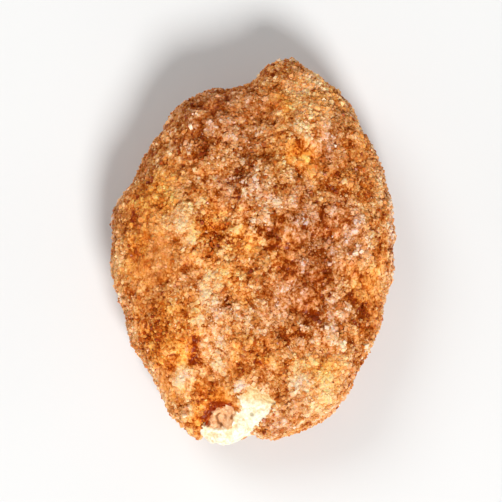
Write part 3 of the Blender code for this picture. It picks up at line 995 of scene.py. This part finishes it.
def build_kernel(skin):
    d, faces = geodesic(40)

    def within(far):
        def wanted(m):
            p, _, up = kernel_base(m)
            return (p[:, 1] < -11) & (p[:, 2] > 2.0) & (np.minimum(crescent_reach(p), socket_reach(p)) < far)
        return wanted

    for far in (2.4, 1.4, 0.6):
        d, faces = refined(d, faces, within(far))
    p, t, up = kernel_base(d)
    p = p + skin["middle"]
    smooth = normals_of(p, faces)
    # how far out the coat's skin is over the broken place
    tip = (skin["base"][skin["faces"], 1] < -9).all(1)
    coat = BVHTree.FromPolygons(skin["base"].tolist(), skin["faces"][tip].tolist())
    wall, over = np.full(len(p), 1.2), p + 1.2 * smooth
    for i in np.flatnonzero((p[:, 1] < -10.5) & (p[:, 2] > 1.6)):
        hit, _, _, far = coat.ray_cast(Vector(p[i]), Vector(smooth[i]), 5.0)
        if hit is not None:
            wall[i], over[i] = far, hit
    bare, socket = chip_masks(over)
    flesh, _ = chip_masks(over, 0.4)
    inside = np.maximum(0, -crescent_reach(over))
    fibres = warped(over, 0.3, 1.0, 45)
    broken, _ = intergrown(fibres, 0.62, 44)
    crumbly, _ = intergrown(over, 0.26, 49)
    torn = 0.16 * layered(over, 0.8, 43, 3) + 0.26 * (broken - 0.5) + 0.12 * (crumbly - 0.5)
    skin_relief = 0.12 * layered(p, 1.5, 41, 3) - 0.10 * np.abs(layered(p * (1, 0.35, 1), 0.8, 42, 2))
    # flush with the crust inside, and lower where the crust is gone from the tip's edge
    crown = wall - 0.20 + 0.26 * np.sqrt(np.minimum(inside, 1.0)) + torn * bare - 0.40 * step(6.4, 5.0, over[:, 2])
    crown -= 0.3 * GONE[3] * blob(over, *GONE[:3])
    deeper = np.clip(0.5 + 0.45 * ((over[:, 1] - SOCKET[1]) - (over[:, 0] - SOCKET[0])), 0, 1)
    hollowed = step(0.0, 0.85, -socket_reach(over))
    # thin brown lines in it: most of a ring, and one across
    drift = warped(over, 0.16, 0.5, 47)
    x, y = drift[:, 0] - SOCKET[0] + 0.08, drift[:, 1] - SOCKET[1] - 0.02
    ring = np.hypot(x, y)
    pit = bell(ring, 0.58, 0.16) * step(0.55, 0.0, x) * step(0.60, 0.30, y) + 0.8 * bell(x, 0.16, 0.14) * bell(y, 0.18, 0.42)
    pit += 0.7 * bell(x, 0.80, 0.25) * bell(y, 0.30, 0.13) + 0.5 * bell(ring, 1.0, 0.16) * step(-0.1, 0.5, y)
    floor_of_socket = wall - 0.22 - 0.34 * deeper - 0.50 * hollowed - 0.12 * pit + 0.20 * layered(over, 0.5, 46, 3)
    relief = skin_relief * (1 - flesh) * (1 - socket) + crown * flesh + floor_of_socket * socket * (1 - flesh)
    relief -= 0.9 * blob(over, 3.9, -16.7, 1.1) * (1 - flesh)
    out = p + smooth * relief[:, None]
    values = {
        "flesh": flesh,
        # painted shade: darker low in the torn flesh, at the socket's rim and along its lines
        "crevice_shade": np.clip(0.9 - 0.9 * broken - 0.5 * crumbly + 0.3 * bell(socket_reach(over), 0.0, 0.2) + 0.8 * pit, 0, 1),
        "warm": step(-14.0, -13.0, over[:, 1] + 0.3 * layered(over, 0.8, 48, 2)),
        "spot": blob(warped(over, 0.12, 0.4, 50), 3.1, -14.55, 0.30, 0.20),
        "socket": np.clip(chip_masks(over, 0.25)[1], 0, 1),
        "pit": pit,
    }
    return piece("pecan_half", out, faces, True, values, disc_map(d, faces))


def scattered(coat, count, seed, keep):
    """Places on the coat's skin, evenly by area and then thinned by keep."""
    rng = np.random.default_rng(seed)
    p, faces = coat["p"], coat["faces"]
    a, b, c = p[faces[:, 0]], p[faces[:, 1]], p[faces[:, 2]]
    area = np.linalg.norm(np.cross(b - a, c - a), axis=1)
    which = rng.choice(len(faces), count, p=area / area.sum())
    u, v = rng.random((2, count))
    flip = u + v > 1
    u, v = np.where(flip, 1 - u, u), np.where(flip, 1 - v, v)
    w = np.stack([1 - u - v, u, v], 1)
    tri = faces[which]
    def at(values):
        return (values[tri] * (w[:, :, None] if values.ndim == 2 else w)).sum(1)
    found = {k: at(coat[k]) for k in ("p", "smooth", "up", "clear", "pale", "dark", "gold", "tint", "warm", "high", "tone", "frost", "busy", "chip", "lip")}
    chance = keep(found)
    chosen = rng.random(count) < chance
    found = {k: x[chosen] for k, x in found.items()}
    found["smooth"] /= np.linalg.norm(found["smooth"], axis=1)[:, None]
    return found, rng


def turned(rng, n):
    q = rng.normal(size=(n, 4))
    q /= np.linalg.norm(q, axis=1)[:, None]
    w, x, y, z = q.T
    return np.stack([
        np.stack([1 - 2 * (y * y + z * z), 2 * (x * y - z * w), 2 * (x * z + y * w)], 1),
        np.stack([2 * (x * y + z * w), 1 - 2 * (x * x + z * z), 2 * (y * z - x * w)], 1),
        np.stack([2 * (x * z - y * w), 2 * (y * z + x * w), 1 - 2 * (x * x + y * y)], 1),
    ], 1)


def shape_of(kind):
    shape = bmesh.new()
    if kind == "box":
        bmesh.ops.create_cube(shape, size=2.0)
        bmesh.ops.triangulate(shape, faces=shape.faces)
    elif kind == "chip":
        bmesh.ops.create_cone(shape, cap_ends=False, segments=4, radius1=1.0, radius2=0.0, depth=1.0)
        low = [v for v in shape.verts if v.co.z < 0]
        for v in shape.verts:
            v.co.z += 0.5
        below = bmesh.ops.create_vert(shape, co=(0.0, 0.0, -1.0))["vert"][0]
        low.sort(key=lambda v: math.atan2(v.co.y, v.co.x))
        for a, b in zip(low, low[1:] + low[:1]):
            shape.faces.new((b, a, below))
        bmesh.ops.recalc_face_normals(shape, faces=shape.faces)
        shape.verts.index_update()
    else:
        bmesh.ops.create_icosphere(shape, subdivisions=kind, radius=1.0)
    shape.verts.ensure_lookup_table()
    verts = np.array([v.co for v in shape.verts], float)
    faces = np.array([[v.index for v in f.verts] for f in shape.faces])
    shape.free()
    return verts, faces


def cell_map(verts, faces, n):
    """Each small thing gets its own square of the bake map, seen from its top."""
    across = int(math.ceil(n ** 0.5))
    flat = verts[:, :2] + 0.35 * verts[:, 2:3] * (1.0, -0.6)
    flat = (flat - flat.min(0)) / np.ptp(flat, axis=0)
    one = flat[faces]
    k = np.arange(n)
    corner = np.stack([k % across, k // across], 1)
    uv = (corner[:, None, None, :] + 0.14 + 0.72 * one[None]) / across
    return uv.reshape(-1, 2)


def build_small(name, coat, kind, count, seed, keep, sizes, stretch, jitter, sink, tone, most, smooth):
    found, rng = scattered(coat, count, seed, keep)
    p, out = found["p"], found["smooth"]
    n = min(len(p), most)
    found = {k: x[:n] for k, x in found.items()}
    p, out = found["p"], found["smooth"]
    verts, faces = shape_of(kind)
    size = np.exp(rng.normal(math.log(sizes[0]), sizes[1], n)).clip(sizes[2], sizes[3])
    shape = verts[None] * (1 + stretch * rng.uniform(-1, 1, (n, 1, 3)))
    shape = shape + jitter * rng.uniform(-1, 1, (n, len(verts), 3))
    shape = np.einsum("nij,nvj->nvi", turned(rng, n), shape) * size[:, None, None]
    placed = shape + (p + out * (size * sink)[:, None])[:, None, :]
    all_faces = (faces[None] + np.arange(n)[:, None, None] * len(verts)).reshape(-1, 3)
    values = {"tone": tone(found, rng, n), "warm": found["warm"], "gold": found["gold"]}
    values = {k: np.repeat(x, len(verts)) for k, x in values.items()}
    made = piece(name, placed.reshape(-1, 3), all_faces, smooth, values, cell_map(verts, faces, n))
    return made


coat, skin = build_coat()
kernel = build_kernel(skin)


def off_floor(f):
    return step(0.30, 0.7, f["p"][:, 2]) * (f["chip"] < 0.15) * (1 - 0.75 * f["lip"])


def grain_tone(base, spread, bright=0.38):
    """A grain's tone follows the crust under it, and some are paler, most of them where it is frosted."""
    def tone(f, rng, n):
        level = 0.32 * f["high"] + 0.40 * (f["tone"] - 0.5) + bright * (rng.random(n) < 0.08 + 0.6 * f["frost"]) * (0.4 + 0.6 * f["high"])
        level = 0.2 + (level - 0.2 + rng.normal(0, spread, n)) * f["busy"]
        level = base - 0.05 + level + 0.16 * f["pale"] + 0.10 * f["gold"] + 0.17 * f["tint"] - 0.12 * f["dark"]
        return np.clip(level, 0, 1)
    return tone


crumbs = build_small(
    "toffee_crumbs", skin, 2, 4600, 5,
    lambda f: off_floor(f) * (0.1 + 0.9 * f["high"]) * (1 - 0.85 * f["clear"]),
    (0.20, 0.28, 0.12, 0.36), 0.30, 0.16, -0.45,
    grain_tone(0.22, 0.09), 900, True)
crystals = build_small(
    "sugar_crystals", skin, "box", 40000, 6,
    lambda f: off_floor(f) * (0.15 + 0.6 * f["high"] + 0.4 * f["pale"]) * (1 - 0.85 * f["clear"]) * (1 - 0.4 * f["dark"]),
    (0.085, 0.34, 0.05, 0.17), 0.35, 0.18, -0.15,
    grain_tone(0.27, 0.13), 16000, False)
sand = build_small(
    "sugar_sand", skin, "chip", 40000, 7,
    lambda f: off_floor(f) * (0.45 + 0.4 * f["high"] + 0.3 * f["pale"]) * (1 - 0.6 * f["clear"]),
    (0.075, 0.30, 0.04, 0.13), 0.35, 0.20, -0.05,
    grain_tone(0.25, 0.16), 22000, False)

coat.data.materials.append(coat_material())
crumbs.data.materials.append(crumb_material())
crystals.data.materials.append(grain_material("sugar_crystals", 0.5, 8.0, (0.14, 0.40), 0.18))
sand.data.materials.append(grain_material("sugar_sand", 0.4, 12.0, (0.30, 0.60), 0.06))
kernel.data.materials.append(kernel_material())

for thing in (coat, crumbs, crystals, sand):
    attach(thing, "root")
    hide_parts("toffee_coat")
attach(kernel, "root")
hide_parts("pecan_kernel")


# ------------------------------------------------------------------ floor, light and camera
def floor():
    shape = bmesh.new()
    bmesh.ops.create_grid(shape, x_segments=8, y_segments=8, size=1.5)
    mesh = bpy.data.meshes.new("floor")
    shape.to_mesh(mesh)
    shape.free()
    made = bpy.data.objects.new("floor", mesh)
    bpy.context.scene.collection.objects.link(made)
    n = Nodes("floor")
    tint = n.ramp(n.noise(0.02, 2.0, 0.5), ((0.3, linear(221, 221, 220)), (0.7, linear(226, 226, 225))))
    n.link(tint, n.shader.inputs["Base Color"])
    n.shader.inputs["Roughness"].default_value = 0.7
    mesh.materials.append(n.material)


def lamp(name, place, look_at, size, watts):
    light = bpy.data.lights.new(name, "AREA")
    light.shape, light.size, light.energy = "DISK", size, watts
    made = bpy.data.objects.new(name, light)
    made.location = Vector(place)
    made.rotation_euler = (Vector(look_at) - Vector(place)).to_track_quat("-Z", "Y").to_euler()
    bpy.context.scene.collection.objects.link(made)


def light_and_camera():
    scene = bpy.context.scene
    scene.view_settings.view_transform = "Standard"
    scene.view_settings.look = "None"
    scene.view_settings.exposure = 0.0
    scene.view_settings.gamma = 1.0
    world = bpy.data.worlds.new("studio")
    world.use_nodes = True
    tree = world.node_tree
    where = tree.nodes.new("ShaderNodeTexCoord")
    split = tree.nodes.new("ShaderNodeSeparateXYZ")
    fade = tree.nodes.new("ShaderNodeMapRange")
    fade.interpolation_type = "SMOOTHSTEP"
    fade.inputs["From Min"].default_value, fade.inputs["From Max"].default_value = 0.0, 0.55
    fade.inputs["To Min"].default_value, fade.inputs["To Max"].default_value = 0.82, 0.25
    tree.links.new(where.outputs["Generated"], split.inputs[0])
    tree.links.new(split.outputs["Z"], fade.inputs["Value"])
    tree.links.new(fade.outputs["Result"], tree.nodes["Background"].inputs["Strength"])
    tree.nodes["Background"].inputs["Color"].default_value = (1.0, 1.0, 1.0, 1.0)
    scene.world = world
    middle = (0, 0, 0.005)
    lamp("key", (0.52, -0.88, 1.08), middle, 0.52, 22.8)
    lamp("fill", (-0.84, 0.46, 1.05), middle, 0.88, 7.6)

    lean, rise, away = math.radians(11.8), math.radians(82), 0.42
    aim = Vector((0.0, 0.0, 0.0052))
    back = Vector((math.sin(lean) * math.cos(rise), -math.cos(lean) * math.cos(rise), math.sin(rise)))
    camera = bpy.data.objects.new("camera", bpy.data.cameras.new("camera"))
    camera.location = aim + back * away
    camera.rotation_euler = (-back).to_track_quat("-Z", "Y").to_euler()
    camera.data.sensor_width = 36.0
    camera.data.lens = 36.0 * away / 0.0445
    camera.data.clip_start, camera.data.clip_end = 0.01, 20.0
    scene.collection.objects.link(camera)
    scene.camera = camera


floor()
light_and_camera()
